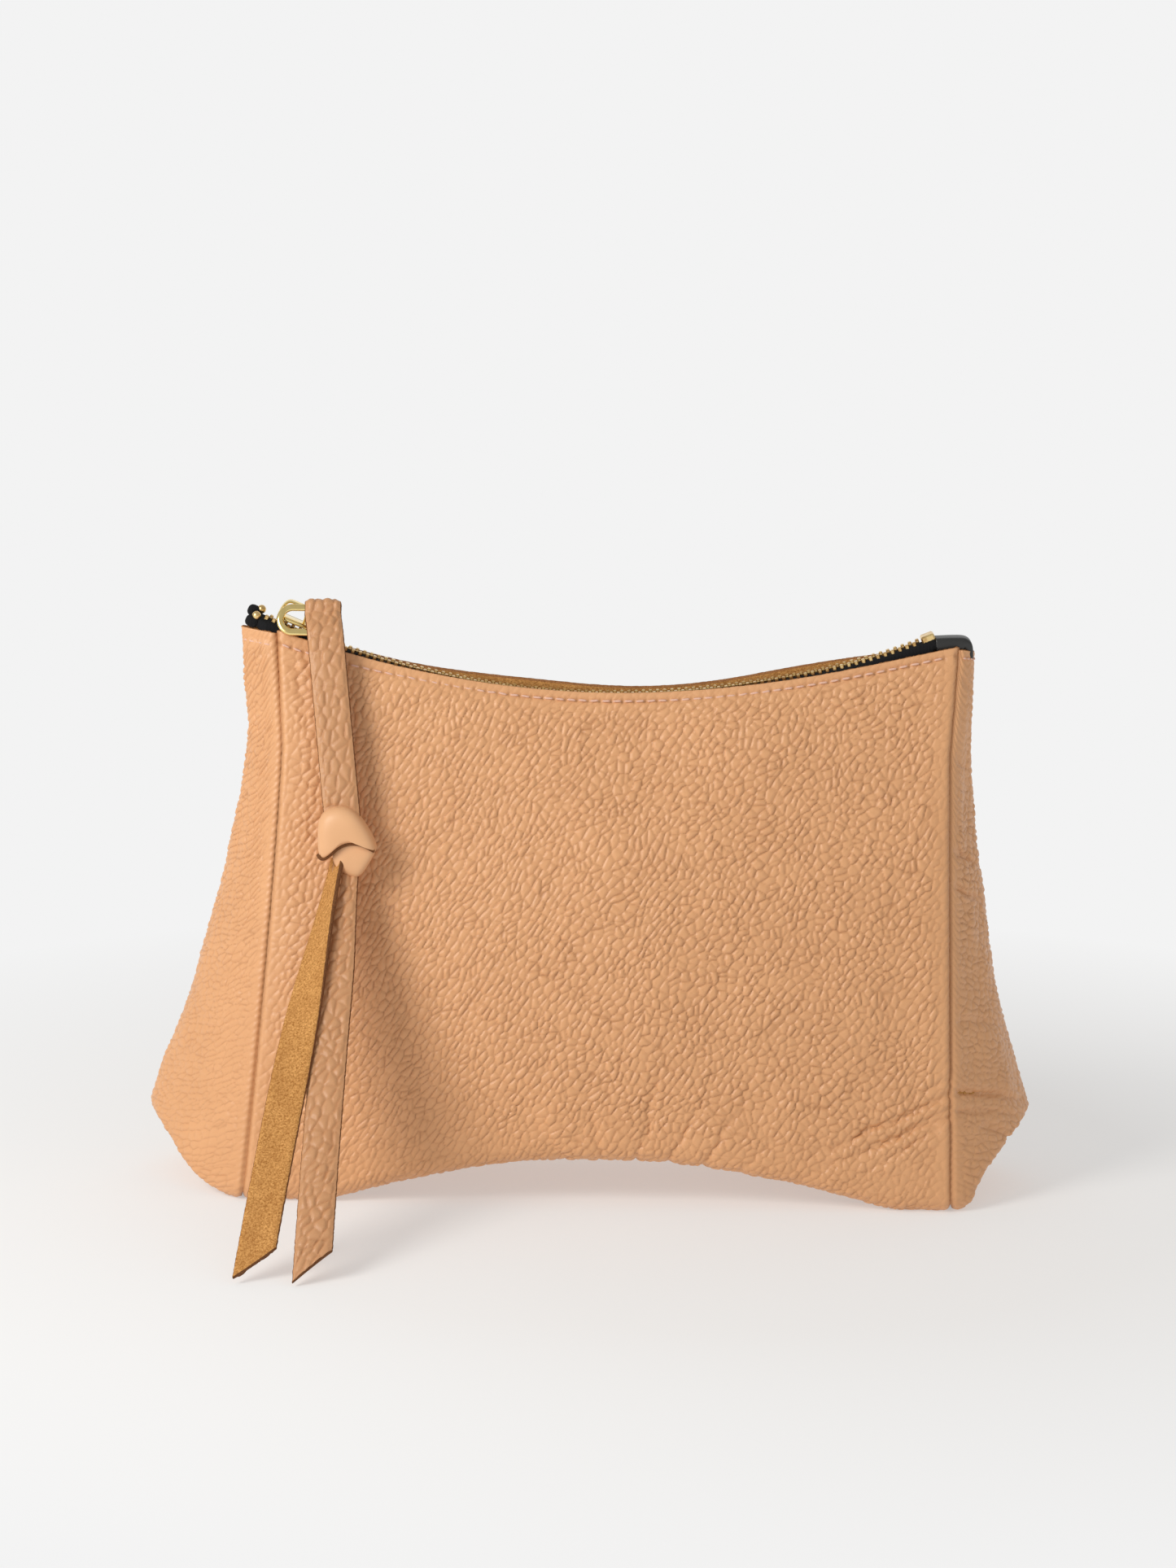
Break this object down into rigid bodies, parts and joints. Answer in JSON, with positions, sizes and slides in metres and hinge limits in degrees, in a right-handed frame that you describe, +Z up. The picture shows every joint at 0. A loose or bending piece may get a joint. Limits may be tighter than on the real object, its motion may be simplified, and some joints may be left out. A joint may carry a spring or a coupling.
{
  "type": "zippered pouch",
  "caption": "Soft leather pouch with folded side gussets, a concave zipped top, an arched base and a knotted leather zip pull.",
  "frame": {"origin": "on the surface the pouch stands on, under the middle of the whole part's box, pull included", "axes": "+X along the zip from the closed end (slider) to the sewn-off end, +Y from the front panel to the back panel, +Z up"},
  "size_m": [0.2982, 0.1733, 0.2012],
  "materials": {
    "leather": "soft pebbled tan leather, semi-matt, raw suede inside",
    "strap_leather": "pebbled tan leather strap with raw edges and golden-brown suede back",
    "tab_leather": "black smooth leather, satin",
    "thread": "dusty pink polyester topstitch thread",
    "zip_tape": "black ribbed woven zip tape, matt",
    "teeth_brass": "antique brass zip teeth and stops",
    "slider_gold": "polished pale gold slider and pull ring"
  },
  "bodies": {
    "pouch": {"front_panel": "leather", "base_panel": "leather", "left_gusset": "leather", "right_gusset": "leather", "front_zip_tape": "zip_tape", "front_zip_teeth": "teeth_brass", "front_top_stop": "teeth_brass", "bottom_stop": "teeth_brass", "zip_end_tab": "tab_leather", "front_topstitch": "thread"},
    "back_wall": {"back_panel": "leather", "back_zip_tape": "zip_tape", "back_zip_teeth": "teeth_brass", "back_top_stop": "teeth_brass", "back_topstitch": "thread"},
    "slider": {"slider_body": "slider_gold"},
    "puller": {"puller_loop": "slider_gold"},
    "strap": {"pull_strap": "strap_leather", "strap_knot": "strap_leather", "strap_tail_left": "strap_leather", "strap_tail_right": "strap_leather"}
  },
  "joints": [
    {"name": "slider_travel", "type": "hinge", "parent": "pouch", "child": "slider", "pos_m": [0, 0.0466, 0.4465], "axis": [0, -1, 0], "range_deg": [0, 42]},
    {"name": "mouth_open", "type": "hinge", "parent": "pouch", "child": "back_wall", "pos_m": [0, 0.0866, 0.006], "axis": [-1, 0, 0], "range_deg": [0, 5]},
    {"name": "puller_pivot", "type": "hinge", "parent": "slider", "child": "puller", "pos_m": [-0.10556, 0.0466, 0.19394], "axis": [0, 1, 0], "range_deg": [0, 21.2]},
    {"name": "strap_lift", "type": "hinge", "parent": "puller", "child": "strap", "pos_m": [-0.094, 0.04106, 0.19861], "axis": [-1, 0, 0], "range_deg": [0, 100]}
  ],
  "couplings": [
    {"joint": "mouth_open", "follows": "slider_travel", "ratio": 0.119},
    {"joint": "puller_pivot", "follows": "slider_travel", "ratio": 0.5}
  ]
}
